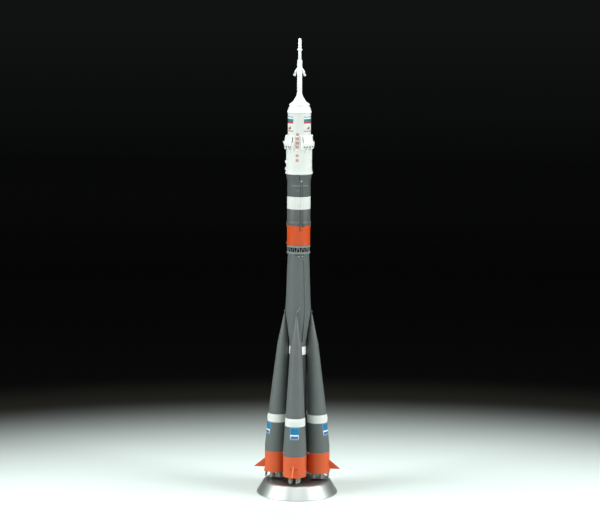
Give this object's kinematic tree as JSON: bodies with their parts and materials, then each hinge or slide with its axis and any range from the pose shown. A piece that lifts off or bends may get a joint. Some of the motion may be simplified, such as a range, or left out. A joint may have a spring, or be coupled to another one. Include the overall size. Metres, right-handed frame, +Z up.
{
  "type": "space rocket display model",
  "caption": "Glued display model of a three-stage crewed space rocket with conical strap-on boosters, engine bells and an escape tower, standing on a round turned metal stand.",
  "frame": {"origin": "middle of the stand's underside", "axes": "+Z up along the rocket's axis, the front booster faces -Y, +X to the rocket's right seen from the front"},
  "size_m": [0.067, 0.067, 0.3531],
  "materials": {
    "grey_paint": "matte grey paint on moulded plastic",
    "white_paint": "satin white paint on moulded plastic",
    "orange_paint": "satin orange paint on moulded plastic",
    "nozzle_metal": "satin silver-grey paint",
    "stand_silver": "satin turned aluminium"
  },
  "bodies": {
    "root": {"adapter_cone": "grey_paint", "booster_back_engine": "nozzle_metal", "booster_back_fin": "orange_paint", "booster_back_lower_body": "grey_paint", "booster_back_nose_cone": "grey_paint", "booster_back_tail_skirt": "orange_paint", "booster_back_white_band": "white_paint", "booster_front_engine": "nozzle_metal", "booster_front_fin": "orange_paint", "booster_front_lower_body": "grey_paint", "booster_front_nose_cone": "grey_paint", "booster_front_tail_skirt": "orange_paint", "booster_front_white_band": "white_paint", "booster_left_engine": "nozzle_metal", "booster_left_fin": "orange_paint", "booster_left_lower_body": "grey_paint", "booster_left_nose_cone": "grey_paint", "booster_left_tail_skirt": "orange_paint", "booster_left_white_band": "white_paint", "booster_right_engine": "nozzle_metal", "booster_right_fin": "orange_paint", "booster_right_lower_body": "grey_paint", "booster_right_nose_cone": "grey_paint", "booster_right_tail_skirt": "orange_paint", "booster_right_white_band": "white_paint", "booster_tie_1": "grey_paint", "booster_tie_2": "grey_paint", "booster_tie_3": "grey_paint", "booster_tie_4": "grey_paint", "core_cable_duct": "grey_paint", "core_engine": "nozzle_metal", "core_lower_tube": "grey_paint", "core_tail": "orange_paint", "core_upper_body": "grey_paint", "core_white_band": "white_paint", "fairing_lower_barrel": "white_paint", "fairing_nose": "white_paint", "fairing_upper_barrel": "white_paint", "grid_fin_panel_1": "white_paint", "grid_fin_panel_2": "white_paint", "grid_fin_panel_3": "white_paint", "grid_fin_panel_4": "white_paint", "interstage_lattice": "grey_paint", "stage_cable_duct": "grey_paint", "stage_engine": "nozzle_metal", "stage_lower_body": "grey_paint", "stage_skirt": "orange_paint", "stage_upper_body": "grey_paint", "stage_white_band": "white_paint", "stand_base": "stand_silver", "stand_pin": "stand_silver", "tower_foot": "white_paint", "tower_head": "white_paint", "tower_lower_tube": "white_paint", "tower_nozzles": "white_paint", "tower_upper_tube": "white_paint"}
  },
  "joints": []
}
